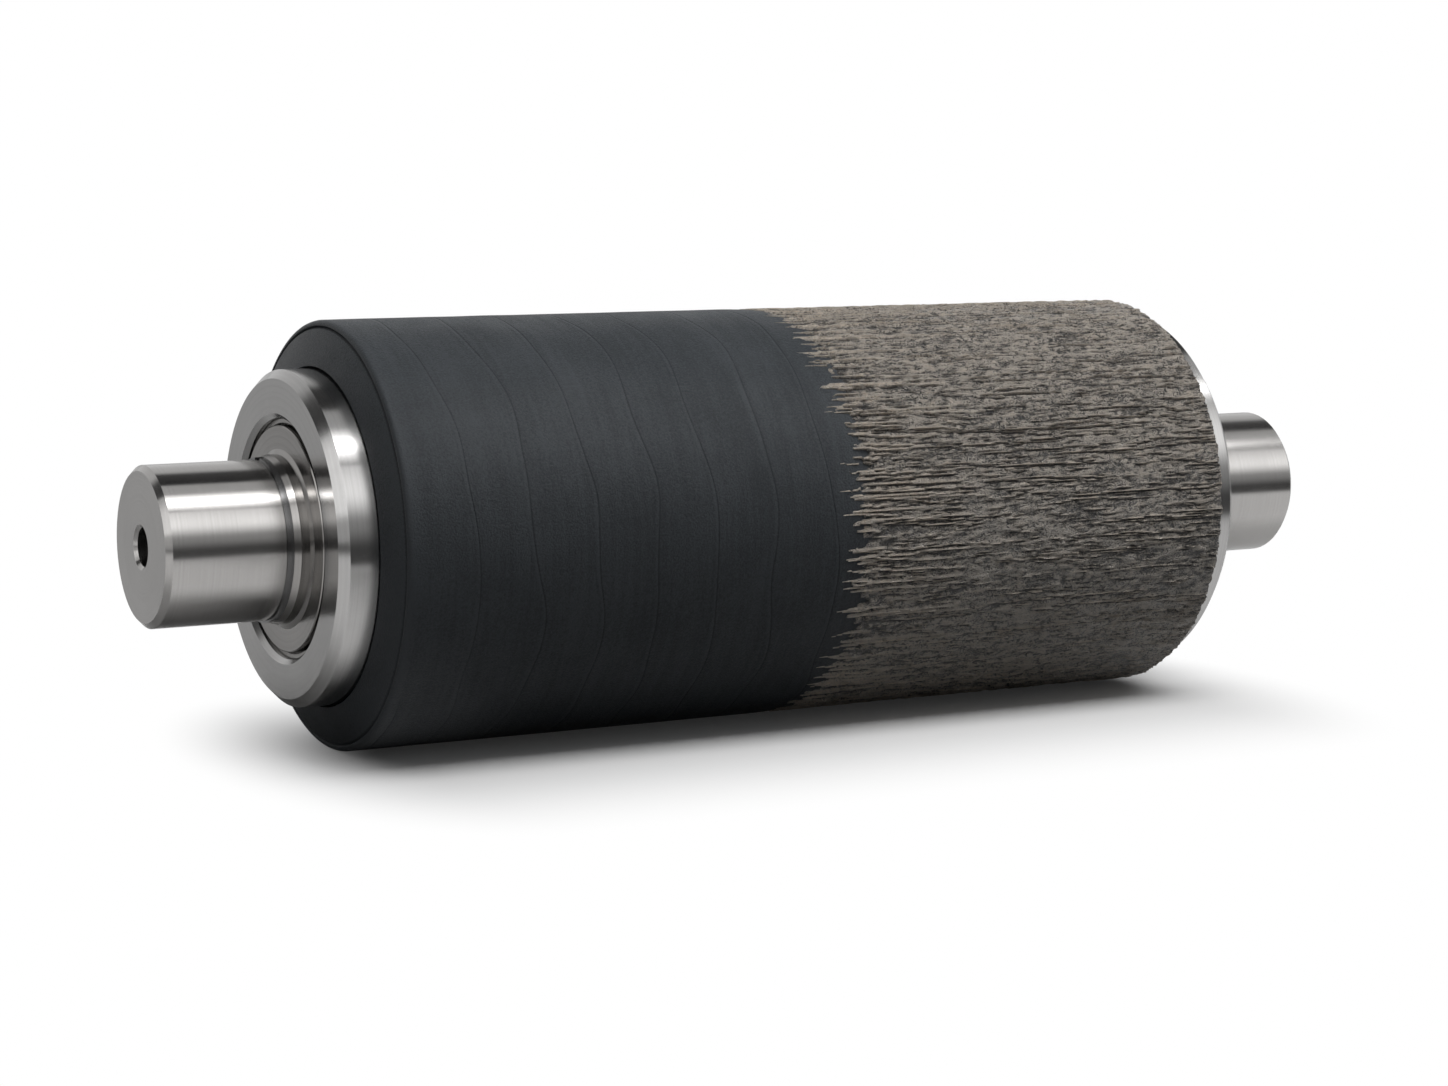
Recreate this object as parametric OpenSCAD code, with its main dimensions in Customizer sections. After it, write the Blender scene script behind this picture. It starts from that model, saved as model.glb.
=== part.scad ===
// Conveyor pulley drum on a fixed shaft. A rubber-lagged steel shell turns on two deep-groove
// ball bearings, which sit in the hubs welded into its end discs. A labyrinth seal closes
// each hub. The axis is X, the origin is the middle of the shaft, and sizes are in millimetres.

/* [Drum] */

// Diameter over the rubber lagging
drum_diameter = 270; // [230:1:340]
// Length of the drum face
drum_length = 600; // [400:1:1000]
// Wall of the steel shell
shell_wall = 10; // [5:0.5:20]
// Bevel inside each end of the shell
shell_bevel = 2; // [1:0.5:4]

/* [Lagging] */

// Thickness of the rubber over the shell
lagging_thickness = 10; // [4:0.5:20]
// How far the shell stands back at each end of the drum face
shell_inset = 10; // [4:0.5:20]
// Thickness of the smooth rubber that wraps over the left end, at the hub
end_rubber_thickness = 11.5; // [8:0.5:20]
// How much thinner it is at the rim
end_rubber_taper = 6.5; // [0:0.5:7]
// Bevel round the wrapped end
end_rubber_bevel = 3.5; // [1:0.5:6]
// Gap between the wrapped end and the hub flange
end_rubber_gap = 1.5; // [0.5:0.5:3]
// Distance of the seam between smooth and rough rubber from the drum's centre
seam_offset = 13; // [-100:1:100]

/* [End ring] */

// How far the bare steel ring stands out from the shell at the right end
end_ring_length = 28; // [15:1:45]
// Bevel of the ring
end_ring_bevel = 5; // [1:0.5:8]

/* [End discs] */

// Thickness of each end disc
disc_thickness = 16; // [8:1:24]
// Leg of the weld fillets at the bore and the rim of a disc
weld_leg = 6; // [3:0.5:8]

/* [Hubs] */

// Diameter of the hub flange
flange_diameter = 210; // [200:1:220]
// How far the hub face stands out from the end of the drum face
flange_stand_out = 25.5; // [15:0.5:40]
// Bevel round the flange
flange_bevel = 5.5; // [1:0.5:8]
// Wall of the hub outside the bearing
hub_wall = 20; // [12:1:26]
// Depth of the bearing below the hub face
bearing_depth = 24; // [22:1:36]
// Thickness of the lip that the bearing seats against
hub_lip_thickness = 8; // [5:1:14]
// Height of that lip
hub_lip_height = 6; // [3:0.5:8]
// Bevel at the mouth of the hub bore
bore_bevel = 3; // [1:0.5:4]

/* [Shaft] */

// Diameter of the shaft at the bearings and the ends
shaft_diameter = 100; // [90:1:110]
// Length of the shaft
shaft_length = 842; // [700:1:1300]
// Distance of the drum's middle from the shaft's middle
drum_offset = -7; // [-20:1:20]
// Height of the shoulder that each bearing seats against
shoulder_height = 5; // [2:0.5:7]
// Width of the grinding undercut beside the shoulder
undercut_width = 3; // [1:0.5:4]
// Depth of that undercut
undercut_depth = 0.4; // [0.2:0.1:0.8]
// Bevel of the shaft ends
shaft_bevel = 3.5; // [1:0.5:6]
// Diameter of the tapped hole in each shaft end
centre_hole_diameter = 24; // [12:1:36]
// Depth of that hole
centre_hole_depth = 45; // [20:1:70]
// Bevel at its mouth
centre_hole_bevel = 2; // [0.5:0.5:4]

/* [Bearings] */

// Width of a bearing
bearing_width = 24; // [18:1:34]
// Radial height of a bearing, from its bore to its outside
bearing_height = 25; // [20:0.5:32]
// Diameter of a ball
ball_diameter = 17; // [12:0.5:20]
// Balls in a bearing
ball_count = 14; // [8:1:18]
// Wall of a ring beside its raceway
ring_wall = 7.5; // [5:0.5:10]
// Bevel of the ring corners
ring_bevel = 2; // [0.5:0.5:3]
// Clearance between a ball and its raceway
ball_clearance = 0.15; // [0.1:0.05:0.3]
// Clearance between a ball and its cage pocket
pocket_clearance = 0.2; // [0.1:0.05:0.5]
// Clearance between the cage and the rings
cage_clearance = 1.5; // [0.5:0.1:2.5]
// Wall of the cage beside its pockets
cage_wall = 2; // [1:0.1:3]

/* [Retaining rings] */

// Thickness of the circlip in the hub
circlip_thickness = 4; // [2:0.5:5]
// Radial width of the circlip
circlip_width = 6; // [4:0.5:9]
// Depth of its groove
circlip_groove_depth = 2.5; // [1:0.1:4]
// Radius of the circlip's lugs
lug_radius = 6; // [4:0.5:8]
// Radius of the pliers holes
pliers_hole_radius = 2; // [1:0.1:3]
// Opening between the two ends of the circlip
circlip_opening = 24; // [14:1:40]
// Thickness of the snap ring on the shaft
snap_ring_thickness = 4; // [2:0.5:5]
// Radial width of the snap ring
snap_ring_width = 3; // [2.5:0.25:6]
// Depth of its groove
snap_ring_groove_depth = 1.75; // [1:0.25:3]
// Opening between the two ends of the snap ring
snap_ring_opening = 8; // [4:1:20]
// Play of a retaining ring along its groove
groove_play = 0.15; // [0.05:0.05:0.5]

/* [Seals] */

// Wall of the labyrinth sleeve on the shaft, inside the hub
sleeve_wall = 6; // [4.5:0.5:9]
// Wall of the sleeve's nose, outside the disc
nose_wall = 2.75; // [2:0.25:4]
// How far the nose stands out from the disc
nose_length = 11; // [8:1:20]
// Length of the bevel at the foot of the nose
nose_foot_bevel = 1.5; // [0.5:0.5:3]
// Length of the lead-in bevel at the end of the nose
nose_end_bevel = 4; // [1:0.5:6]
// Height of that bevel
nose_end_drop = 1.5; // [0.5:0.25:1.75]
// Depth of the labyrinth disc below the hub face
labyrinth_recess = 2; // [1:0.5:6]
// Thickness of the labyrinth disc
labyrinth_disc_thickness = 4; // [2:0.5:6]
// Bevel at the rims of both labyrinth rings
labyrinth_bevel = 0.6; // [0.2:0.1:1]
// Gap between the disc and the bore of the hub
labyrinth_mouth_gap = 4.5; // [3:0.5:8]
// Depth of the outer labyrinth ring below the hub face
outer_labyrinth_recess = 6; // [5:0.5:10]
// Wall of the outer labyrinth ring
outer_labyrinth_wall = 3; // [2:0.5:4]
// Thickness of its web
labyrinth_web = 4; // [2:0.5:6]
// Thickness of a labyrinth fin
fin_thickness = 2.5; // [1.5:0.5:3]
// Gap between fins
fin_gap = 1; // [0.5:0.1:1.5]
// Gap between a fin and the web or the disc that it points at
fin_end_gap = 2; // [0.5:0.5:3]
// Diameter of the O-ring's cord
o_ring_cord = 3.4; // [2:0.1:4]
// Clearance round that cord in its groove
o_ring_clearance = 0.05; // [0.02:0.01:0.2]
// Thickness of the inner grease seal
grease_seal_thickness = 7; // [3:0.5:12]
// Gap between the inner grease seal and the shaft
grease_seal_gap = 0.4; // [0.2:0.1:1]
// Grease grooves in the bore of the inner grease seal
grease_groove_count = 2; // [1:1:3]
// Width and depth of a grease groove
grease_groove_size = 1.5; // [0.5:0.25:1.5]

/* [Hidden] */

$fn = 96;
through = 1;
drill_point_angle = 118;

drum_r = drum_diameter / 2;
shell_r = drum_r - lagging_thickness;
shell_bore_r = shell_r - shell_wall;
lagging_end = drum_length / 2;
shell_end = lagging_end - shell_inset;
end_rubber_face = shell_end + end_rubber_thickness;

shaft_r = shaft_diameter / 2;
shoulder_r = shaft_r + shoulder_height;
shaft_end = shaft_length / 2;
hole_r = centre_hole_diameter / 2;

bearing_r = shaft_r + bearing_height;
pitch_r = shaft_r + bearing_height / 2;
ball_r = ball_diameter / 2;
race_r = ball_r + ball_clearance;
inner_ring_r = shaft_r + ring_wall;
outer_ring_bore_r = bearing_r - ring_wall;
pocket_r = ball_r + pocket_clearance;

hub_face = lagging_end + flange_stand_out;
bearing_out = hub_face - bearing_depth;
bearing_in = bearing_out - bearing_width;
bearing_mid = (bearing_out + bearing_in) / 2;
hub_end = bearing_in - hub_lip_thickness;
flange_r = flange_diameter / 2;
hub_r = bearing_r + hub_wall;
lip_r = bearing_r - hub_lip_height;

circlip_out_r = bearing_r + circlip_groove_depth;
circlip_in_r = circlip_out_r - circlip_width;
lug_centre_r = bearing_r - lug_radius;

sleeve_r = shaft_r + sleeve_wall;
nose_r = shaft_r + nose_wall;
labyrinth_r = bearing_r - labyrinth_mouth_gap;
labyrinth_out = hub_face - labyrinth_recess;
labyrinth_disc_in = labyrinth_out - labyrinth_disc_thickness;
sleeve_end = labyrinth_out + nose_length;
outer_labyrinth_in = bearing_out + circlip_thickness + 2 * groove_play;
outer_labyrinth_out = hub_face - outer_labyrinth_recess;
web_out = outer_labyrinth_in + labyrinth_web;
o_ring_r = shaft_r + o_ring_clearance + o_ring_cord / 2;
o_ring_place = (bearing_out + labyrinth_out) / 2;

// Radius of the outside of fin i, counted from the rim of the labyrinth disc
function fin_r(i) = labyrinth_r - i * (fin_thickness + fin_gap);

// Turns a closed outline of [along the axis, radius] points about the X axis
module turned(outline) {
    rotate([0, 90, 0])
        rotate_extrude()
            polygon([for (point = outline) [point[1], point[0]]]);
}

// A plain turned ring
module ring(from, to, bore, outside) {
    turned([[from, bore], [to, bore], [to, outside], [from, outside]]);
}

// A ring with all four corners bevelled
module bevelled_ring(from, to, bore, outside, bevel) {
    turned([
        [from, bore + bevel], [from + bevel, bore], [to - bevel, bore], [to, bore + bevel],
        [to, outside - bevel], [to - bevel, outside], [from + bevel, outside], [from, outside - bevel],
    ]);
}

// Turns a piece of the right end over for the left end
module on_side(side) {
    mirror([side == "left" ? 1 : 0, 0, 0]) children();
}

// Moves what is drawn about the middle of the drum to the drum's place on the shaft
module on_drum() {
    translate([drum_offset, 0, 0]) children();
}

// Puts a piece that is drawn at the right end of the drum on its left or right end
module at_end(side) {
    on_drum() on_side(side) children();
}

module snap_ring_groove() {
    ring(sleeve_end, sleeve_end + snap_ring_thickness + groove_play,
        shaft_r - snap_ring_groove_depth, shaft_r + through);
}

module shoulder_undercut() {
    ring(bearing_in, bearing_in + undercut_width, shaft_r - undercut_depth, shaft_r + through);
}

module centre_hole() {
    hole_floor = shaft_end - centre_hole_depth;
    drill_tip = hole_floor - hole_r / tan(drill_point_angle / 2);
    turned([
        [drill_tip, 0], [hole_floor, hole_r], [shaft_end - centre_hole_bevel, hole_r],
        [shaft_end, hole_r + centre_hole_bevel], [shaft_end + through, hole_r + centre_hole_bevel],
        [shaft_end + through, 0],
    ]);
}

module shaft() {
    color("silver")
        difference() {
            turned([
                [-shaft_end, 0], [-shaft_end, shaft_r - shaft_bevel], [shaft_bevel - shaft_end, shaft_r],
                [drum_offset - bearing_in, shaft_r], [drum_offset - bearing_in, shoulder_r],
                [drum_offset + bearing_in, shoulder_r], [drum_offset + bearing_in, shaft_r],
                [shaft_end - shaft_bevel, shaft_r], [shaft_end, shaft_r - shaft_bevel], [shaft_end, 0],
            ]);
            for (side = ["left", "right"]) {
                at_end(side) {
                    snap_ring_groove();
                    shoulder_undercut();
                }
                on_side(side) centre_hole();
            }
        }
}

module shell() {
    color("slategray")
        on_drum()
            turned([
                [-shell_end, shell_bore_r + shell_bevel], [shell_bevel - shell_end, shell_bore_r],
                [shell_end - shell_bevel, shell_bore_r], [shell_end, shell_bore_r + shell_bevel],
                [shell_end, shell_r], [-shell_end, shell_r],
            ]);
}

module smooth_lagging() {
    bore = flange_r + end_rubber_gap;
    rim = end_rubber_taper - end_rubber_face;
    color("dimgray")
        on_drum()
            turned([
                [-end_rubber_face, bore], [rim, drum_r - end_rubber_bevel],
                [rim + end_rubber_bevel, drum_r], [seam_offset, drum_r],
                [seam_offset, shell_r], [-shell_end, shell_r], [-shell_end, bore],
            ]);
}

module rough_lagging() {
    color("tan")
        on_drum() ring(seam_offset, lagging_end, shell_r, drum_r);
}

module end_ring_right() {
    ring_end = shell_end + end_ring_length;
    color("lightsteelblue")
        on_drum()
            turned([
                [shell_end, flange_r], [ring_end, flange_r], [ring_end, shell_r - end_ring_bevel],
                [ring_end - end_ring_bevel, shell_r], [shell_end, shell_r],
            ]);
}

module end_disc(side) {
    disc_in = shell_end - disc_thickness;
    color("steelblue")
        at_end(side)
            turned([
                [disc_in - weld_leg, hub_r], [shell_end, hub_r], [shell_end, shell_bore_r],
                [disc_in - weld_leg, shell_bore_r], [disc_in, shell_bore_r - weld_leg],
                [disc_in, hub_r + weld_leg],
            ]);
}

module hub(side) {
    color("lightgray")
        at_end(side)
            difference() {
                turned([
                    [hub_end, lip_r], [bearing_in, lip_r], [bearing_in, bearing_r],
                    [hub_face - bore_bevel, bearing_r], [hub_face, bearing_r + bore_bevel],
                    [hub_face, flange_r - flange_bevel], [hub_face - flange_bevel, flange_r],
                    [shell_end, flange_r], [shell_end, hub_r], [hub_end, hub_r],
                ]);
                ring(bearing_out, bearing_out + circlip_thickness + groove_play, lip_r, circlip_out_r);
            }
}

module raceway() {
    translate([bearing_mid, 0, 0])
        rotate([0, 90, 0])
            rotate_extrude()
                translate([pitch_r, 0]) circle(race_r);
}

module bearing_outer_ring(side) {
    color("gainsboro")
        at_end(side)
            difference() {
                bevelled_ring(bearing_in, bearing_out, outer_ring_bore_r, bearing_r, ring_bevel);
                raceway();
            }
}

module bearing_inner_ring(side) {
    color("whitesmoke")
        at_end(side)
            difference() {
                bevelled_ring(bearing_in, bearing_out, shaft_r, inner_ring_r, ring_bevel);
                raceway();
            }
}

// Puts a copy of a piece at each ball
module at_each_ball() {
    for (i = [0 : ball_count - 1])
        rotate([i * 360 / ball_count, 0, 0])
            translate([bearing_mid, 0, pitch_r])
                children();
}

module bearing_balls(side) {
    color("white")
        at_end(side)
            at_each_ball() sphere(ball_r);
}

module bearing_cage(side) {
    half_width = pocket_r + cage_wall;
    color("goldenrod")
        at_end(side)
            difference() {
                ring(bearing_mid - half_width, bearing_mid + half_width,
                    inner_ring_r + cage_clearance, outer_ring_bore_r - cage_clearance);
                at_each_ball() cylinder(h = bearing_height, r = pocket_r, center = true);
            }
}

// A flat ring that lies across the axis, open at the top
module open_ring(from, thickness, bore, outside, opening) {
    translate([from, 0, 0])
        rotate([0, 90, 0])
            linear_extrude(thickness)
                difference() {
                    circle(outside);
                    circle(bore);
                    translate([-outside - through, -opening / 2]) square([outside + through, opening]);
                }
}

module hub_circlip(side) {
    color("darkslategray")
        at_end(side)
            translate([bearing_out, 0, 0])
                difference() {
                    union() {
                        open_ring(0, circlip_thickness, circlip_in_r, circlip_out_r, circlip_opening);
                        for (turn = [-1, 1])
                            circlip_lug(turn) cylinder(h = circlip_thickness, r = lug_radius);
                    }
                    for (turn = [-1, 1])
                        circlip_lug(turn)
                            translate([0, 0, -through])
                                cylinder(h = circlip_thickness + 2 * through, r = pliers_hole_radius);
                }
}

// Puts a lug of the circlip beside its opening
module circlip_lug(turn) {
    lug_angle = asin((circlip_opening / 2 + lug_radius) / lug_centre_r);
    rotate([turn * lug_angle, 0, 0])
        translate([0, 0, lug_centre_r])
            rotate([0, 90, 0])
                children();
}

module shaft_snap_ring(side) {
    bore = shaft_r - snap_ring_groove_depth;
    color("darkslategray")
        at_end(side)
            open_ring(sleeve_end, snap_ring_thickness, bore, bore + snap_ring_width, snap_ring_opening);
}

module labyrinth_outer(side) {
    color("cadetblue")
        at_end(side) {
            turned([
                [outer_labyrinth_in, sleeve_r + fin_gap], [web_out, sleeve_r + fin_gap],
                [web_out, bearing_r - outer_labyrinth_wall],
                [outer_labyrinth_out, bearing_r - outer_labyrinth_wall],
                [outer_labyrinth_out, bearing_r - labyrinth_bevel],
                [outer_labyrinth_out - labyrinth_bevel, bearing_r], [outer_labyrinth_in, bearing_r],
            ]);
            ring(web_out, labyrinth_disc_in - fin_end_gap, fin_r(1) - fin_thickness, fin_r(1));
        }
}

module labyrinth_inner(side) {
    groove_half = o_ring_cord / 2 + o_ring_clearance;
    color("lightsteelblue")
        at_end(side)
            difference() {
                union() {
                    turned([
                        [bearing_out, shaft_r], [bearing_out, sleeve_r], [labyrinth_disc_in, sleeve_r],
                        [labyrinth_disc_in, labyrinth_r], [labyrinth_out - labyrinth_bevel, labyrinth_r],
                        [labyrinth_out, labyrinth_r - labyrinth_bevel], [labyrinth_out, sleeve_r],
                        [labyrinth_out + nose_foot_bevel, nose_r], [sleeve_end - nose_end_bevel, nose_r],
                        [sleeve_end, nose_r - nose_end_drop], [sleeve_end, shaft_r],
                    ]);
                    for (i = [0, 2])
                        ring(web_out + fin_end_gap, labyrinth_disc_in, fin_r(i) - fin_thickness, fin_r(i));
                }
                ring(o_ring_place - groove_half, o_ring_place + groove_half,
                    shaft_r - through, shaft_r + 2 * groove_half);
            }
}

module o_ring(side) {
    color("black")
        at_end(side)
            translate([o_ring_place, 0, 0])
                rotate([0, 90, 0])
                    rotate_extrude()
                        translate([o_ring_r, 0]) circle(o_ring_cord / 2);
}

module inner_grease_seal(side) {
    seal_bore = shoulder_r + grease_seal_gap;
    land = (grease_seal_thickness - grease_groove_count * grease_groove_size) / (grease_groove_count + 1);
    color("saddlebrown")
        at_end(side)
            difference() {
                ring(hub_end, hub_end + grease_seal_thickness, seal_bore, lip_r);
                for (i = [1 : grease_groove_count])
                    translate([hub_end + i * land + (i - 1) * grease_groove_size, 0, 0])
                        ring(0, grease_groove_size, seal_bore - through, seal_bore + grease_groove_size);
            }
}

shaft();
shell();
smooth_lagging();
rough_lagging();
end_ring_right();
end_disc("left");  // end_disc_left
end_disc("right");  // end_disc_right
hub("left");  // hub_left
hub("right");  // hub_right
bearing_outer_ring("left");  // bearing_outer_ring_left
bearing_outer_ring("right");  // bearing_outer_ring_right
bearing_inner_ring("left");  // bearing_inner_ring_left
bearing_inner_ring("right");  // bearing_inner_ring_right
bearing_balls("left");  // bearing_balls_left
bearing_balls("right");  // bearing_balls_right
bearing_cage("left");  // bearing_cage_left
bearing_cage("right");  // bearing_cage_right
hub_circlip("left");  // hub_circlip_left
hub_circlip("right");  // hub_circlip_right
shaft_snap_ring("left");  // shaft_snap_ring_left
shaft_snap_ring("right");  // shaft_snap_ring_right
labyrinth_outer("left");  // labyrinth_outer_left
labyrinth_outer("right");  // labyrinth_outer_right
labyrinth_inner("left");  // labyrinth_inner_left
labyrinth_inner("right");  // labyrinth_inner_right
o_ring("left");  // o_ring_left
o_ring("right");  // o_ring_right
inner_grease_seal("left");  // inner_grease_seal_left
inner_grease_seal("right");  // inner_grease_seal_right
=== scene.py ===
import math

import bpy
import numpy as np
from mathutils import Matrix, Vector


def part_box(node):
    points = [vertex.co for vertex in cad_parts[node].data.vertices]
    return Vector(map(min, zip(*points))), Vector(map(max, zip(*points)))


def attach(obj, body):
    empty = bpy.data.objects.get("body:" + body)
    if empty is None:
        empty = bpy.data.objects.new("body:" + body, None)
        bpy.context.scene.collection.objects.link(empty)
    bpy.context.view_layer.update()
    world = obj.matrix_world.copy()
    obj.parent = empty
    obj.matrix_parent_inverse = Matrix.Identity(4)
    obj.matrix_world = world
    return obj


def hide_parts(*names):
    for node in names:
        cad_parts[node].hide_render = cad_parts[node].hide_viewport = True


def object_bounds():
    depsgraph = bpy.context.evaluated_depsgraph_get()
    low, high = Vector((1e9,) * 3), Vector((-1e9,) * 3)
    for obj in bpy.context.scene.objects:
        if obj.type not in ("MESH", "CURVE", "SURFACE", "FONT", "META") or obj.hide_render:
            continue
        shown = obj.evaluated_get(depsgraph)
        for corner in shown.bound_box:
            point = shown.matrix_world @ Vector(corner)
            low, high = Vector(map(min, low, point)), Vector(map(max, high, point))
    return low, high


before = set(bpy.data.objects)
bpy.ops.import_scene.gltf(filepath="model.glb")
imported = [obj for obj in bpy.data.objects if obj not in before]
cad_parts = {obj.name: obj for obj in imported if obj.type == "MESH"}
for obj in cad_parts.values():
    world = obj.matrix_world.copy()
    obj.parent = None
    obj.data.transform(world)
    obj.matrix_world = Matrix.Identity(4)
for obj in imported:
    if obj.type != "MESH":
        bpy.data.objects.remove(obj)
cad_low, cad_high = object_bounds()


# --- Shaft -------------------------------------------------------------------------------
# One bar of carbon steel, turned and then ground on its seats and ends. The ends stand
# still in the conveyor frame, and the shoulders inside the drum locate the bearings.

def add_node(tree, kind, inputs=None, **settings):
    """Adds a shader node and sets its inputs, which are sockets to link from or plain values."""
    made = tree.nodes.new("ShaderNode" + kind)
    for name, value in settings.items():
        setattr(made, name, value)
    for name, value in (inputs or {}).items():
        if isinstance(value, bpy.types.NodeSocket):
            tree.links.new(value, made.inputs[name])
        else:
            made.inputs[name].default_value = value
    return made


def calculate(tree, operation, *values):
    """Adds a Math node and returns its result."""
    return add_node(tree, "Math", dict(enumerate(values)), operation=operation).outputs[0]


def weighted_sum(tree, *terms, start=0.0):
    """Adds up values, each times its weight, on top of a start value."""
    total = start
    for value, weight in terms:
        total = calculate(tree, "MULTIPLY_ADD", value, weight, total)
    return total


def noise(tree, place, **settings):
    """Adds a noise texture at a place and returns its value."""
    inputs = {label.capitalize(): value for label, value in settings.items()}
    return add_node(tree, "TexNoise", {"Vector": place, **inputs}).outputs[0]


def blend_colour(tree, share, first, second):
    """Mixes two colours and returns the result."""
    mixed = add_node(tree, "Mix", {0: share, 6: first, 7: second}, data_type="RGBA")
    return mixed.outputs[2]


def spread(tree, value, low, high, to_low=0.0, to_high=1.0):
    """Maps a range of values to another range, with smooth ends."""
    mapped = add_node(
        tree, "MapRange", {0: value, 1: low, 2: high, 3: to_low, 4: to_high},
        interpolation_type="SMOOTHSTEP",
    )
    return mapped.outputs[0]


def bare_material(name):
    """Starts a material and returns it with its tree and the socket that takes its shader."""
    material = bpy.data.materials.new(name)
    material.use_nodes = True
    tree = material.node_tree
    tree.nodes.clear()
    return material, tree, add_node(tree, "OutputMaterial").inputs[0]


def new_material(name, settings):
    """Starts a material with a Principled shader and sets the shader's constant values."""
    material, tree, surface = bare_material(name)
    shader = add_node(tree, "BsdfPrincipled", settings)
    tree.links.new(shader.outputs[0], surface)
    return material, tree, shader


# Marks that a lathe or grinder leaves round the axis: fine lines that follow the tool.
turning_marks = bpy.data.node_groups.new("turning marks", "ShaderNodeTree")
for label, direction in (("Lines per metre", "INPUT"), ("Lines", "OUTPUT"), ("Stain", "OUTPUT")):
    turning_marks.interface.new_socket(label, in_out=direction, socket_type="NodeSocketFloat")
marks_in = turning_marks.nodes.new("NodeGroupInput")
marks_out = turning_marks.nodes.new("NodeGroupOutput")
place = add_node(turning_marks, "TexCoord").outputs["Object"]
axes = add_node(turning_marks, "SeparateXYZ", {0: place}).outputs
reach = calculate(
    turning_marks, "SQRT",
    calculate(turning_marks, "ADD",
              calculate(turning_marks, "MULTIPLY", axes[1], axes[1]),
              calculate(turning_marks, "MULTIPLY", axes[2], axes[2])),
)
along = add_node(turning_marks, "CombineXYZ", {0: axes[0], 1: reach}).outputs[0]
lines = noise(turning_marks, along, scale=marks_in.outputs[0], detail=2.0, roughness=0.6)
stain = noise(turning_marks, place, scale=14.0, detail=4.0, roughness=0.6)
turning_marks.links.new(lines, marks_out.inputs[0])
turning_marks.links.new(stain, marks_out.inputs[1])


def turned_steel(name, dark, light, roughness, lines_per_metre, mark_depth, stain_strength):
    """Makes bare metal with the marks of its machining, some stain and a directional gloss."""
    line_strength = 0.5
    darkest_shade, shade_margin = 0.1, 0.3
    dull, bright = roughness * 1.2, roughness * 0.85
    material, tree, shader = new_material(
        name, {"Metallic": 1.0, "Anisotropic": 0.6, "Anisotropic Rotation": 0.25})
    lines, stain = add_node(tree, "Group", {"Lines per metre": lines_per_metre},
                            node_tree=turning_marks).outputs
    shade = weighted_sum(tree, (lines, line_strength), (stain, stain_strength))
    lightest_shade = darkest_shade + stain_strength + shade_margin
    colour = blend_colour(tree, spread(tree, shade, darkest_shade, lightest_shade), dark, light)
    gloss = spread(tree, stain, 0.3, 0.7, dull, bright)
    bump = add_node(tree, "Bump", {"Strength": 0.5, "Distance": mark_depth, "Height": lines})
    tangent = add_node(tree, "Tangent", direction_type="RADIAL", axis="X")
    tree.links.new(colour, shader.inputs["Base Color"])
    tree.links.new(gloss, shader.inputs["Roughness"])
    tree.links.new(bump.outputs[0], shader.inputs["Normal"])
    tree.links.new(tangent.outputs[0], shader.inputs["Tangent"])
    return material


def finish_nodes(material, *names):
    """Gives CAD nodes their material."""
    for name in names:
        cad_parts[name].material_slots[0].material = material


SIDES = ("left", "right")
ground_steel = turned_steel(
    "ground_steel", dark=(0.38, 0.37, 0.36, 1), light=(0.48, 0.47, 0.46, 1),
    roughness=0.17, lines_per_metre=700.0, mark_depth=0.00002, stain_strength=0.5)
finish_nodes(ground_steel, "shaft")


# --- Bearings ----------------------------------------------------------------------------
# Deep-groove ball bearings: hardened rings and balls, lapped bright, round a machined brass
# cage. The inner rings are pressed on the shaft and the outer rings into the hubs.

lapped_steel = turned_steel(
    "lapped_steel", dark=(0.52, 0.52, 0.54, 1), light=(0.62, 0.62, 0.64, 1),
    roughness=0.1, lines_per_metre=1500.0, mark_depth=0.000004, stain_strength=0.4)
cage_brass = turned_steel(
    "cage_brass", dark=(0.5, 0.34, 0.13, 1), light=(0.62, 0.45, 0.2, 1),
    roughness=0.3, lines_per_metre=900.0, mark_depth=0.00001, stain_strength=0.5)
for side in SIDES:
    finish_nodes(lapped_steel, "bearing_outer_ring_" + side, "bearing_inner_ring_" + side,
                 "bearing_balls_" + side)
    finish_nodes(cage_brass, "bearing_cage_" + side)


# --- Hubs, end discs and shell -----------------------------------------------------------
# The hubs are turned from forgings, the discs are cut from plate and the shell is rolled and
# welded. They are welded into one drum, where only the hub flanges and the ring round the
# right end stay in sight.

hub_steel = turned_steel(
    "hub_steel", dark=(0.34, 0.335, 0.33, 1), light=(0.46, 0.455, 0.45, 1),
    roughness=0.17, lines_per_metre=520.0, mark_depth=0.00003, stain_strength=0.6)
mill_steel = turned_steel(
    "mill_steel", dark=(0.08, 0.078, 0.075, 1), light=(0.16, 0.155, 0.15, 1),
    roughness=0.55, lines_per_metre=120.0, mark_depth=0.0001, stain_strength=0.8)
for side in SIDES:
    finish_nodes(hub_steel, "hub_" + side)
    finish_nodes(mill_steel, "end_disc_" + side)
finish_nodes(mill_steel, "shell")
finish_nodes(hub_steel, "end_ring_right")


# --- Labyrinth seals, O-rings and retaining rings ----------------------------------------
# A turned ring on the shaft runs with its fins between those of a ring in the hub, so dirt
# finds no straight way in. An O-ring seals it on the shaft and a snap ring holds it there, and
# a spring steel circlip in the hub holds the bearing.

seal_steel = turned_steel(
    "seal_steel", dark=(0.22, 0.212, 0.204, 1), light=(0.36, 0.35, 0.34, 1),
    roughness=0.18, lines_per_metre=620.0, mark_depth=0.00003, stain_strength=0.6)
spring_steel = turned_steel(
    "spring_steel", dark=(0.16, 0.16, 0.162, 1), light=(0.26, 0.26, 0.262, 1),
    roughness=0.22, lines_per_metre=300.0, mark_depth=0.00001, stain_strength=0.5)
for side in SIDES:
    finish_nodes(seal_steel, "labyrinth_inner_" + side, "labyrinth_outer_" + side)
    finish_nodes(spring_steel, "hub_circlip_" + side, "shaft_snap_ring_" + side)

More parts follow.
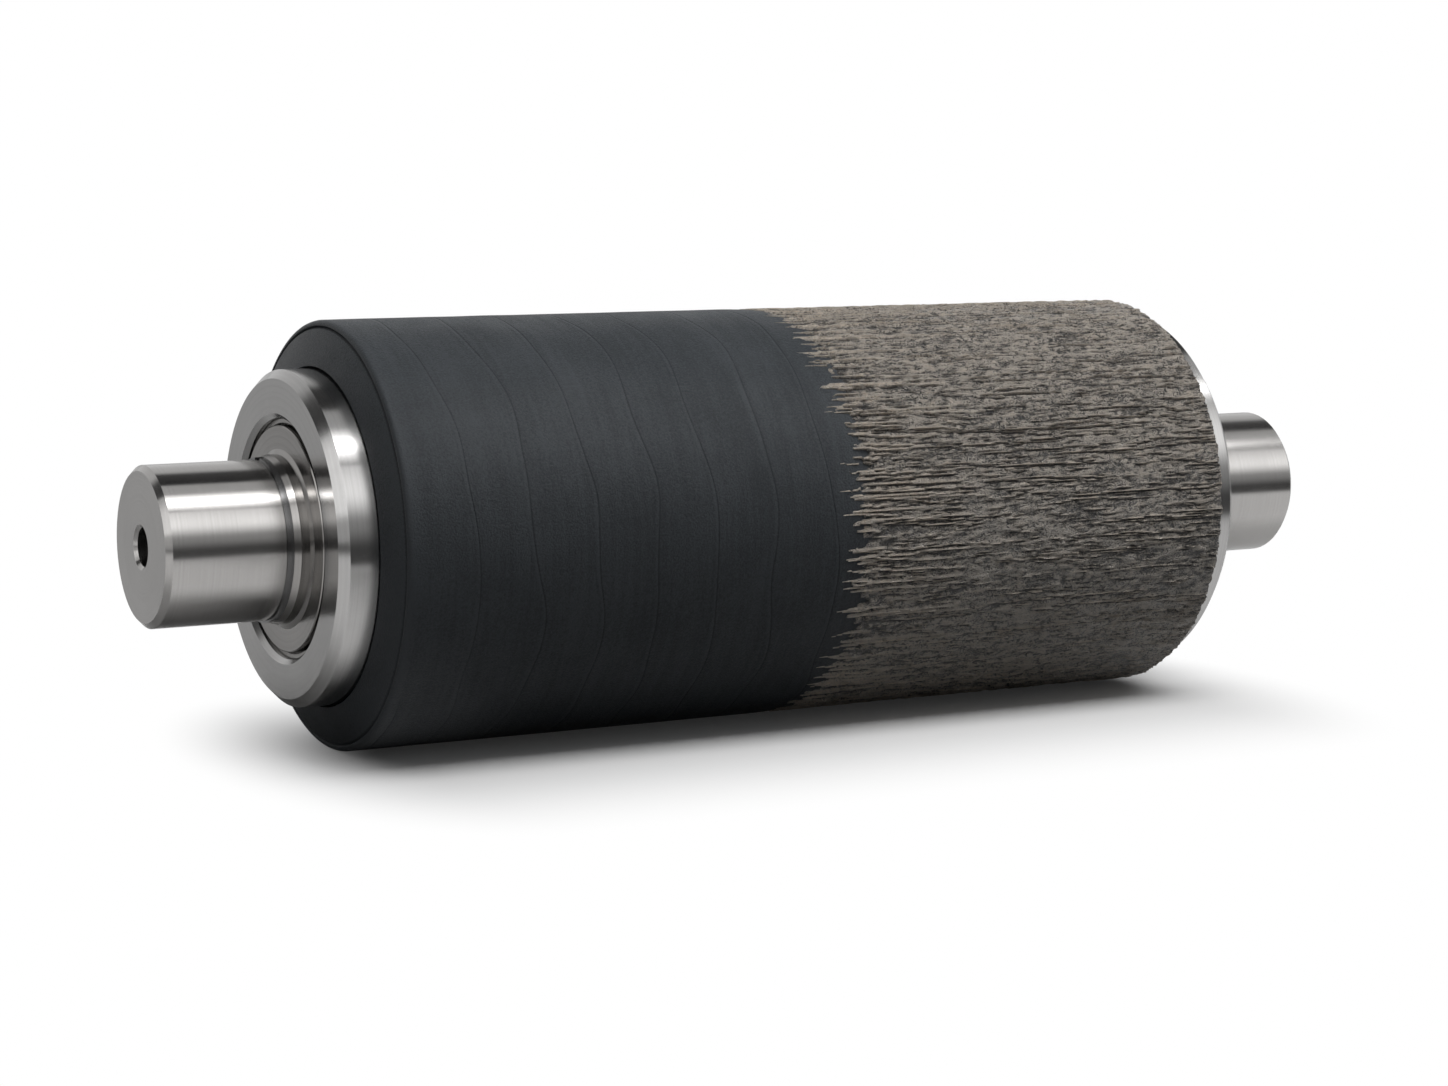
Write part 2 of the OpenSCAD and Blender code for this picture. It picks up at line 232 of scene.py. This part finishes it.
seal_rubber, tree, shader = new_material("seal_rubber", {"Specular IOR Level": 0.4})
tone = add_node(tree, "TexNoise", {"Scale": 260.0, "Detail": 3.0}).outputs[0]
tree.links.new(blend_colour(tree, tone, (0.012, 0.012, 0.012, 1), (0.03, 0.03, 0.03, 1)),
               shader.inputs["Base Color"])
tree.links.new(spread(tree, tone, 0.3, 0.7, 0.45, 0.6), shader.inputs["Roughness"])
for side in SIDES:
    finish_nodes(seal_steel, "inner_grease_seal_" + side)
    finish_nodes(seal_rubber, "o_ring_" + side)


# --- Smooth lagging ----------------------------------------------------------------------
# Natural rubber, wound on as a warm strip, wrapped over the left end of the shell and cured
# in place, so a faint lap runs round it as a helix. The rough lagging starts on top of it.

lagging_low, lagging_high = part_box("smooth_lagging")
rough_low, rough_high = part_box("rough_lagging")
flange_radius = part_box("hub_left")[1].z
shell_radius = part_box("shell")[1].z
drum_radius = lagging_high.z
seam_place = rough_low.x
strip_width = 0.041
strip_wander = 0.7
steps_round = 1000
sharp_degrees = 48
angle = np.arange(steps_round) * 2 * math.pi / steps_round


def new_object(name, data):
    """Makes an object and puts it in the scene."""
    made = bpy.data.objects.new(name, data)
    bpy.context.scene.collection.objects.link(made)
    return made


def value_noise(x, turn, cell_length, cells_round, seed):
    """Smooth noise from 0 to 1 over the drum's skin. It has no seam round the drum."""
    u = x / cell_length
    v = turn / (2 * math.pi) * cells_round
    first_u = np.floor(u).astype(int)
    first_v = np.floor(v).astype(int)
    lattice = np.random.default_rng(seed).random((first_u.max() - first_u.min() + 2, cells_round))
    part_u, part_v = u - first_u, v - first_v
    part_u = part_u * part_u * (3 - 2 * part_u)
    part_v = part_v * part_v * (3 - 2 * part_v)
    row = first_u - first_u.min()
    here, there = first_v % cells_round, (first_v + 1) % cells_round
    low = lattice[row, here] * (1 - part_v) + lattice[row, there] * part_v
    high = lattice[row + 1, here] * (1 - part_v) + lattice[row + 1, there] * part_v
    return low * (1 - part_u) + high * part_u


def ring_piece(name, x, radius, body, material, **facts):
    """Makes a closed piece from loops round the axis, given as rows of places and radii."""
    rows, steps = x.shape
    turn = np.arange(steps) * 2 * math.pi / steps
    points = np.stack([x, -radius * np.cos(turn), radius * np.sin(turn)], axis=-1).reshape(-1, 3)
    row, step = np.meshgrid(np.arange(rows), np.arange(steps), indexing="ij")
    next_row, next_step = (row + 1) % rows, (step + 1) % steps
    corners = np.stack([row * steps + step, row * steps + next_step,
                        next_row * steps + next_step, next_row * steps + step], axis=-1)
    mesh = bpy.data.meshes.new(name)
    mesh.from_pydata(points.tolist(), [], corners.reshape(-1, 4).tolist())
    for label, values in facts.items():
        mesh.attributes.new(label, "FLOAT", "POINT").data.foreach_set(
            "value", values.reshape(-1).astype(np.float32))
    mesh.materials.append(material)
    mesh.shade_smooth()
    mesh.set_sharp_from_angle(angle=math.radians(sharp_degrees))
    piece = new_object(name, mesh)
    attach(piece, body)
    return piece


smooth_rubber, tree, shader = new_material("smooth_rubber", {"Specular IOR Level": 0.18})
place = add_node(tree, "TexCoord").outputs["Object"]
axes = add_node(tree, "SeparateXYZ", {0: place}).outputs
grain = noise(tree, place, scale=750.0, detail=3.0, roughness=0.7)
cloud = noise(tree, place, scale=24.0, detail=5.0)
wound = add_node(tree, "Mapping", {"Vector": place, "Scale": (1.0, 0.05, 0.05)}).outputs[0]
drag = noise(tree, wound, scale=260.0, detail=4.0)
wander = noise(tree, place, scale=9.0, detail=1.0)
bearing = calculate(tree, "ARCTAN2", axes[2], calculate(tree, "MULTIPLY", axes[1], -1.0))
strip = weighted_sum(tree, (bearing, 1 / (2 * math.pi)), (axes[0], 1 / strip_width),
                     (wander, strip_wander))
across_strip = calculate(tree, "FRACT", strip)
own_tone = add_node(tree, "TexWhiteNoise", {"W": calculate(tree, "FLOOR", strip)},
                    noise_dimensions="1D").outputs[0]
# Edge tone: paler as wear on the end face and as a painted highlight on the rim, bevel and body
# edge, darker as painted shade in the crease.
wear = add_node(tree, "Attribute", attribute_name="edge_wear").outputs["Fac"]
on_body = spread(tree, calculate(tree, "ABSOLUTE", wear), 0.0, 0.5, 1.0, 0.0)
# A paler line at each lap's raised edge is a painted highlight with some wear, and a darker line at
# its foot is painted shade where the lap steps down. Both also shape the bump.
lap_edge = calculate(tree, "MULTIPLY", on_body, spread(tree, across_strip, 0.9, 0.97))
lap_foot = calculate(tree, "SUBTRACT", 1.0, spread(tree, across_strip, 0.0, 0.035))
lap_foot = calculate(tree, "MULTIPLY", on_body, lap_foot)
tone = weighted_sum(tree, (drag, 0.2), (grain, 0.55), (cloud, 0.3), (own_tone, 0.05),
                    (lap_edge, 0.06), (lap_foot, -0.16), (wear, 0.09))
tree.links.new(blend_colour(tree, spread(tree, tone, 0.36, 0.72), (0.024, 0.028, 0.032, 1),
                            (0.056, 0.063, 0.071, 1)), shader.inputs["Base Color"])
tree.links.new(spread(tree, tone, 0.4, 0.68, 0.56, 0.44), shader.inputs["Roughness"])
relief = weighted_sum(tree, (lap_foot, -0.35), (grain, 0.5), (lap_edge, 0.3))
bump = add_node(tree, "Bump", {"Strength": 1.0, "Distance": 0.0011, "Height": relief})
tree.links.new(bump.outputs[0], shader.inputs["Normal"])

# The worn edge: its end face, a crease, the rim and a round bevel, each row as place, radius
# and tone. Tone above 0 makes the rubber paler: wear on the end face, and a painted highlight on
# the rim, the bevel and the start of the body. Below 0 it is darker: painted shade in the crease.
end_gap = 0.0015
end_taper = 0.0065
end_bevel = 0.0035
crease = 0.0009
crease_run, crease_out, crease_in = 2.5 * crease, 1.6 * crease, 1.2 * crease
# The end face is paler with wear, the crease gets painted shade, and the rim and bevel get a
# painted highlight.
face_wear, crease_shade, rim_highlight, bevel_highlight = 0.9, -6.0, 1.2, 1.9
bevel_steps = 6
skin_rows = 62
skin_slack = 0.0002
seam_zone = 0.026
seam_sink = 0.0008
skin_dive = 0.0019
seam_overlap = 0.014
rim = lagging_low.x + end_taper
rim_radius = drum_radius - end_bevel
bore_radius = flange_radius + end_gap
cone_slope = end_taper / (rim_radius - bore_radius)
body_start = rim + end_bevel
edge_rows = [
    (lagging_low.x, bore_radius, face_wear),
    (rim - crease_run * cone_slope, rim_radius - crease_run, face_wear),
    (rim + crease_out, rim_radius - crease_in, crease_shade),
    (rim, rim_radius, rim_highlight),
]
for swing in np.radians(np.linspace(0, 90, bevel_steps + 1)[1:-1]):
    edge_rows.append((body_start - end_bevel * math.cos(swing),
                      rim_radius + (end_bevel - skin_slack) * math.sin(swing), bevel_highlight))
skin_end = seam_place + seam_overlap
body_place = np.linspace(body_start, skin_end, skin_rows)
body_x = np.broadcast_to(body_place[:, None], (skin_rows, steps_round))
# A painted highlight that fades from the bevel into the body.
body_edge_highlight = np.clip(1 - (body_x - body_start) / end_bevel, 0, 1)
near_seam = np.clip(1 + (body_x - seam_place) / seam_zone, 0, 1)
past_seam = np.clip((body_x - seam_place) / seam_overlap, 0, 1)
slack = value_noise(body_x, angle[None, :], cell_length=0.021, cells_round=24, seed=6)
body_radius = (drum_radius - skin_slack * slack
               - seam_sink * near_seam * near_seam - skin_dive * past_seam)
flat = np.ones(steps_round)
wall_inside = rim + end_taper
inner_rows = [(skin_end, shell_radius, 0.0), (wall_inside, shell_radius, 0.0),
              (wall_inside, bore_radius, 0.0)]


def whole_rows(part, middle):
    """Joins the rows of the worn edge, the body and the inside, each as one loop of values."""
    return np.vstack([flat * row[part] for row in edge_rows] + list(middle)
                     + [flat * row[part] for row in inner_rows])


smooth_skin = ring_piece("smooth_lagging_skin", whole_rows(0, body_x), whole_rows(1, body_radius),
                         "drum", smooth_rubber, edge_wear=whole_rows(2, body_edge_highlight))
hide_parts("smooth_lagging")


# --- Rough lagging -----------------------------------------------------------------------
# Rubber mixed with chopped fibre and left as torn, like bark: short strands that run along
# the drum, with tears between them. It grips the belt, and its strands lap over the seam.

rough_rubber, tree, shader = new_material("rough_rubber", {"Specular IOR Level": 0.8})
height = add_node(tree, "Attribute", attribute_name="bark_height").outputs["Fac"]
# The lips' pale tan is partly the fibre's own colour and partly a painted highlight.
lip = add_node(tree, "Attribute", attribute_name="bark_lip").outputs["Fac"]
place = add_node(tree, "TexCoord").outputs["Object"]
fibre_place = add_node(tree, "Mapping", {"Vector": place, "Scale": (0.6, 1.0, 1.0)}).outputs[0]
creases = noise(tree, fibre_place, scale=330.0, detail=3.0, roughness=0.65, distortion=1.4)
creases = calculate(tree, "ABSOLUTE", calculate(tree, "MULTIPLY_ADD", creases, 2.0, -1.0))
fibres = noise(tree, fibre_place, scale=900.0, detail=3.0, roughness=0.7)
cloud = noise(tree, place, scale=22.0, detail=4.0)
relief = weighted_sum(tree, (fibres, 0.95), (creases, -1.6))
# The colour follows the bark's height and its creases: darker down in the tears and creases is
# painted shade, and paler on the high places is painted highlight.
tone = calculate(tree, "SUBTRACT", calculate(tree, "ADD", height, relief), 0.11)
tone = weighted_sum(tree, (cloud, 0.3), start=tone)
ramp = add_node(tree, "ValToRGB", {0: tone})
# Painted shade at the low end of the ramp, painted highlight at the high end.
shaded_low, lit_high = ramp.color_ramp.elements
shaded_low.position, shaded_low.color = 0.42, (0.006, 0.0055, 0.005, 1)
lit_high.position, lit_high.color = 0.97, (0.5, 0.448, 0.388, 1)
ramp.color_ramp.elements.new(0.7).color = (0.064, 0.057, 0.0495, 1)
# Pale tan on the lips: fibre colour together with a painted highlight on ridges that face the lamp.
lip_share = calculate(tree, "MULTIPLY", lip, spread(tree, fibres, 0.3, 0.55))
tree.links.new(blend_colour(tree, lip_share, ramp.outputs[0], (0.82, 0.69, 0.55, 1)),
               shader.inputs["Base Color"])
tree.links.new(spread(tree, fibres, 0.3, 0.7, 0.38, 0.25), shader.inputs["Roughness"])
bump = add_node(tree, "Bump", {"Strength": 1.0, "Distance": 0.0013, "Height": relief})
tree.links.new(bump.outputs[0], shader.inputs["Normal"])

bark_depth = 0.0026
bark_rows = 70
strand_reach, fine_reach = 0.022, 0.018
seam_step = 0.0015
bark_start = seam_place - strand_reach
seam_side = np.arange(bark_start, seam_place + fine_reach, seam_step)
past_seam_side = np.linspace(seam_side[-1] + seam_step, rough_high.x, bark_rows)
bark_place = np.concatenate([seam_side, past_seam_side])
turn = np.broadcast_to(angle[None, :], (bark_place.size, steps_round))
bark_x = np.broadcast_to(bark_place[:, None], turn.shape)


def waves(size, cell_length, cells_round, seed):
    """Hills and dips of the whole bark, from half its size below 0 to half above."""
    return size * (value_noise(bark_x, turn, cell_length, cells_round, seed) - 0.5)


def ragged(cells_round, seed):
    """An uneven value from 0 to 1 for each step round the drum."""
    return value_noise(bark_x[:1], turn[:1], 1.0, cells_round, seed)[0]


# The bark's height goes from 0, where the smooth rubber is bare, to 1 at the drum's full radius.
seam_height, later_height, settle_length = 0.26, 0.28, 0.04
crumb_height, crumb_shift = 0.58, 0.012
edge_past_seam, edge_swing, edge_fray = 0.004, 0.016, 0.012
lip_from, lip_gain, crumb_lip = 0.78, 4, 0.4
crumbs = value_noise(bark_x, turn, cell_length=0.0036, cells_round=470, seed=13)
past_seam = np.clip((bark_x - seam_place) / settle_length, 0, 1)
bark_height = (seam_height + later_height * past_seam
               + waves(0.2, cell_length=0.035, cells_round=90, seed=11)
               + waves(0.2, cell_length=0.012, cells_round=300, seed=12)
               + crumb_height * (crumbs - 0.5))
solid_edge = (seam_place + edge_past_seam + edge_swing * (ragged(cells_round=34, seed=31) - 0.5)
              + edge_fray * (ragged(cells_round=190, seed=32) - 0.5))
bark_height = np.where(bark_x + crumb_shift * (crumbs - 0.5) < solid_edge[None, :], 0, bark_height)
# Crumb tops get pale tan, partly fibre colour and partly painted highlight.
bark_lip = np.clip(lip_gain * (crumbs - lip_from), 0, crumb_lip) * (bark_height > 0)

least_fray, even_share = 0.2, 0.6
shoulder_height, shoulder_tan = 0.85, 0.35


def tear_bark(count, starts, lengths, depth, rise, jump, seed, proud=0.0, tan=1.0):
    """Cuts tears along the drum, each with a jagged run and a raised, frayed tan lip above it.
    The low run shows as painted shade in the colour, and the lip's pale tan is partly the fibre's
    own colour and partly a painted highlight. Where the lip is proud, it stands up as a strand even
    on the smooth rubber."""
    rng = np.random.default_rng(seed)
    for _ in range(count):
        start = rng.uniform(*starts)
        run = np.flatnonzero((bark_place > start) & (bark_place < start + rng.uniform(*lengths)))
        if run.size < 2:
            continue
        pitch = np.diff(bark_place[run], prepend=bark_place[run[0]])
        turns = rng.choice((-1, 1), run.size) * (rng.random(run.size) < pitch * jump)
        step = (rng.integers(steps_round) + np.cumsum(turns)) % steps_round
        above, over = (step + 1) % steps_round, (step + 2) % steps_round
        fade = np.sin(np.pi * (np.arange(run.size) + 0.5) / run.size) ** 0.5
        frayed = fade * rng.uniform(least_fray, 1.0, run.size)
        bark_height[run, step] -= depth * np.maximum(frayed, even_share * fade)
        bark_height[run, above] = np.maximum(bark_height[run, above] + rise * frayed, proud)
        shoulder = shoulder_height * proud
        bark_height[run, over] = np.maximum(bark_height[run, over], shoulder)
        bark_lip[run, above] = np.maximum(bark_lip[run, above], tan * frayed)
        tan_shoulder = shoulder_tan * frayed * proud
        bark_lip[run, over] = np.maximum(bark_lip[run, over], tan_shoulder)


past_edge = (seam_place + edge_past_seam, rough_high.x)
over_seam = (seam_place - 0.014, seam_place + 0.002)
by_seam = (seam_place - 0.006, seam_place + 0.008)
tear_bark(count=260, starts=past_edge, lengths=(0.03, 0.12), depth=0.6, rise=0.6, jump=60, seed=21)
tear_bark(count=3600, starts=past_edge, lengths=(0.006, 0.025), depth=0.38, rise=0.45, jump=110,
          seed=22, tan=0.45)
tear_bark(count=170, starts=over_seam, lengths=(0.012, 0.03), depth=0.2, rise=0.4, jump=90,
          seed=23, proud=0.92)
tear_bark(count=150, starts=by_seam, lengths=(0.02, 0.1), depth=0.3, rise=0.5, jump=60,
          seed=24, proud=0.9)
# The pale tan grows near the seam, partly as fibre colour and partly as painted highlight.
tan_length, tan_falloff = 0.14, 1.3
tan_everywhere, tan_near_seam = 0.7, 0.3
bark_height = np.clip(bark_height, 0, 1)
tan_share = np.clip(1 - (bark_x - seam_place) / tan_length, 0, 1) ** tan_falloff
bark_lip = np.clip(bark_lip * (tan_everywhere + tan_near_seam * tan_share), 0, 1)
bark_radius = drum_radius - bark_depth * (1 - bark_height)

chip_size = 0.0016
end_undercut = 0.001
end_height = 0.2
chips = chip_size * ragged(cells_round=330, seed=34)
chipped_x = np.minimum(bark_x, rough_high.x - chips[None, :])
x_rows = [flat * bark_start, *chipped_x, chipped_x[-1] - end_undercut]
radius_rows = [flat * shell_radius, *bark_radius, flat * shell_radius]


def with_ends(values, at_ends):
    """Adds the value of the first and the last loop of the bark."""
    return np.vstack([flat[None, :] * at_ends, values, flat[None, :] * at_ends])


bark = ring_piece("rough_lagging_bark", np.array(x_rows), np.array(radius_rows),
                  "drum", rough_rubber, bark_height=with_ends(bark_height, end_height),
                  bark_lip=with_ends(bark_lip, 0.0))
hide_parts("rough_lagging")


# --- Studio ------------------------------------------------------------------------------
# A pale floor and sky, with one long soft lamp that hangs over the drum. A graded panel near
# the lamp, two screens and a side panel show in gloss alone, so that the bare steel has light
# and dark to mirror. None of it belongs to the drum.

drum_middle = (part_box("shell")[0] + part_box("shell")[1]) / 2
floor_height = cad_low.z
floor_reach = 8.0


def stage_sheet(name, corners, material):
    """Makes a flat four-sided sheet of the studio."""
    mesh = bpy.data.meshes.new(name)
    mesh.from_pydata(corners, [], [(0, 1, 2, 3)])
    mesh.materials.append(material)
    sheet = new_object(name, mesh)
    return sheet


def ray_masks(tree):
    """Marks what is seen straight or through glass, and what is seen in gloss, each with 1."""
    path = add_node(tree, "LightPath").outputs
    straight = calculate(tree, "MAXIMUM", path["Is Camera Ray"], path["Is Transmission Ray"])
    return straight, path["Is Glossy Ray"]


# The floor is paper that takes the shadow. Away from the drum it glows white when it is seen
# straight, round a long shadow area that narrows past the drum's ends.
paper_lit, paper_seen = (0.15, 0.15, 0.15, 1), (0.93, 0.93, 0.93, 1)
shadow_half_length, shadow_shift, shadow_end_pinch = 0.27, -0.04, 2.0
shadow_core, shadow_reach, core_glow = 0.02, 0.27, 0.015
floor_material, tree, surface = bare_material("studio_floor")
straight, in_gloss = ray_masks(tree)
seen = calculate(tree, "MAXIMUM", straight, in_gloss)
paper = add_node(tree, "BsdfDiffuse", {"Color": blend_colour(tree, seen, paper_lit, paper_seen)})
axes = add_node(tree, "SeparateXYZ", {0: add_node(tree, "TexCoord").outputs["Object"]}).outputs
along, across = calculate(tree, "ABSOLUTE", axes[0]), axes[1]
beyond_end = calculate(
    tree, "MAXIMUM", calculate(tree, "SUBTRACT", along, shadow_half_length), 0.0)
away = add_node(tree, "CombineXYZ", {
    0: calculate(tree, "MULTIPLY", beyond_end, shadow_end_pinch),
    1: calculate(tree, "SUBTRACT", across, shadow_shift)}).outputs[0]
away = add_node(tree, "VectorMath", {0: away}, operation="LENGTH").outputs["Value"]
clear_of_shadow = spread(tree, away, shadow_core, shadow_reach, core_glow, 1.0)
seen_far = calculate(tree, "MULTIPLY", clear_of_shadow, straight)

# Gloss sees the floor glow at other levels, in front of the drum's ends and far from it. Each
# zone is a stretch over which a glow fades, in metres from the shaft's middle.
end_zone, front_zone = (0.18, 0.3), (-0.13, -0.03)
far_front_zone, far_back_zone, back_fade_zone = (-0.75, -0.45), (0.2, 0.5), (0.1, 0.4)
far_front_level, near_level, back_share = 0.1, 0.87, 0.56
mirrored_front = calculate(tree, "MULTIPLY", spread(tree, along, *end_zone),
                           spread(tree, across, *front_zone, 1.0, 0.0))
mirrored_far = calculate(tree, "MAXIMUM", spread(tree, across, *far_front_zone, 1.0, 0.0),
                         spread(tree, across, *far_back_zone))
mirrored = calculate(tree, "MULTIPLY", in_gloss,
                     calculate(tree, "MAXIMUM", mirrored_front, mirrored_far))
mirrored_level = calculate(
    tree, "MULTIPLY", spread(tree, across, *far_front_zone, far_front_level, near_level),
    spread(tree, across, *back_fade_zone, 1.0, back_share))
level = add_node(tree, "Mix", {0: straight, 2: mirrored_level, 3: 1.0},
                 data_type="FLOAT").outputs[0]
glow = add_node(tree, "Emission", {"Color": (1, 1, 1, 1), "Strength": level})
mixed = add_node(tree, "MixShader", {0: calculate(tree, "MAXIMUM", seen_far, mirrored),
                                     1: paper.outputs[0], 2: glow.outputs[0]})
tree.links.new(mixed.outputs[0], surface)
stage_sheet("floor", [(x * floor_reach, y * floor_reach, floor_height)
                      for x, y in ((-1, -1), (1, -1), (1, 1), (-1, 1))], floor_material)


def round_axis(x, degrees, distance):
    """A place round the drum's axis: 0 degrees is level in front of it and 90 is above it."""
    bearing = math.radians(degrees)
    return Vector((x, -math.cos(bearing) * distance, math.sin(bearing) * distance))


def gloss_sheet(name, corners, material):
    """Makes a sheet of the studio that only gloss picks up."""
    sheet = stage_sheet(name, corners, material)
    sheet.visible_camera = False
    sheet.visible_diffuse = False
    sheet.visible_shadow = False
    return sheet


def add_screen(name, from_degrees, to_degrees, distance, length, levels):
    """Hangs a screen along the drum that only gloss picks up, graded by its levels of grey."""
    material, tree, surface = bare_material(name)
    start, end = round_axis(0, from_degrees, distance), round_axis(0, to_degrees, distance)
    across = end - start
    place = add_node(tree, "TexCoord").outputs["Object"]
    offset = add_node(tree, "VectorMath", {0: place, 1: start}, operation="SUBTRACT").outputs[0]
    share = add_node(tree, "VectorMath", {0: offset, 1: across / across.length_squared},
                     operation="DOT_PRODUCT").outputs["Value"]
    graded = add_node(tree, "ValToRGB", {0: share})
    graded.color_ramp.interpolation = "EASE"
    points = graded.color_ramp.elements
    for position, level in levels:
        point = (points[0] if position == 0 else points[-1] if position == 1
                 else points.new(position))
        point.color = (level, level, level, 1)
    glow = add_node(tree, "Emission", {"Color": graded.outputs[0]})
    tree.links.new(glow.outputs[0], surface)
    half = Vector((length / 2, 0, 0))
    gloss_sheet(name, [start - half, start + half, end + half, end - half], material)


# The lamp is aimed at the drum's axis. Its energy is what gives its face a set radiance.
key_degrees, key_distance, key_shift = 68, 1.55, 0.75
key_length, key_width, key_radiance = 2.6, 0.8, 3.3
lamp_data = bpy.data.lights.new("key_lamp", "AREA")
lamp_data.shape = "RECTANGLE"
lamp_data.size, lamp_data.size_y = key_length, key_width
lamp_data.energy = key_radiance * math.pi * key_length * key_width
key_lamp = new_object("key_lamp", lamp_data)
key_lamp.location = round_axis(key_shift, key_degrees, key_distance)
key_lamp.rotation_euler = (math.radians(90) - math.radians(key_degrees), 0, 0)
key_lamp.visible_camera = False
key_lamp.visible_glossy = False

add_screen("key_panel", from_degrees=53, to_degrees=83, distance=1.52, length=key_length,
           levels=((0, 0.5), (0.25, 2.0), (0.5, 9.0), (0.75, 2.0), (1, 0.5)))
add_screen("upper_screen", from_degrees=99, to_degrees=165, distance=1.9, length=5.0,
           levels=((0, 0.03), (0.36, 0.08), (0.5, 0.7), (1, 0.8)))
add_screen("front_screen", from_degrees=-3, to_degrees=58, distance=2.1, length=7.0,
           levels=((0, 0.08), (0.3, 0.42), (0.6, 1.75), (1, 1.25)))

side_x, side_bottom, side_top, side_radiance = -2.2, 0.4, 1.9, 1.6
side_glow, tree, surface = bare_material("side_panel")
tree.links.new(add_node(tree, "Emission", {"Strength": side_radiance}).outputs[0], surface)
gloss_sheet("side_panel", [(side_x, -1.0, side_bottom), (side_x, -0.45, side_bottom),
                           (side_x, 0.3, side_top), (side_x, -0.25, side_top)], side_glow)

# The sky is white when it is seen straight, light grey in gloss, and lights the drum only a
# little.
sky_light, sky_in_gloss = 0.12, 0.5
world = bpy.data.worlds.new("studio")
world.use_nodes = True
tree = world.node_tree
tree.nodes.clear()
straight, in_gloss = ray_masks(tree)
sky_level = weighted_sum(tree, (straight, 1 - sky_light), (in_gloss, sky_in_gloss), start=sky_light)
sky = add_node(tree, "Background", {"Color": (1, 1, 1, 1), "Strength": sky_level})
tree.links.new(sky.outputs[0], add_node(tree, "OutputWorld").inputs[0])
bpy.context.scene.world = world

camera_place = Vector((-1.018, -1.848, 0.2346))
camera_tilt, camera_turn = 6.916, 28.581
lens_data = bpy.data.cameras.new("camera")
lens_data.sensor_width = 36.0
lens_data.lens = 78.98
camera = new_object("camera", lens_data)
camera.location = drum_middle + camera_place
camera.rotation_euler = (math.radians(90 - camera_tilt), 0, -math.radians(camera_turn))
bpy.context.scene.camera = camera
bpy.context.scene.view_settings.view_transform = "Standard"
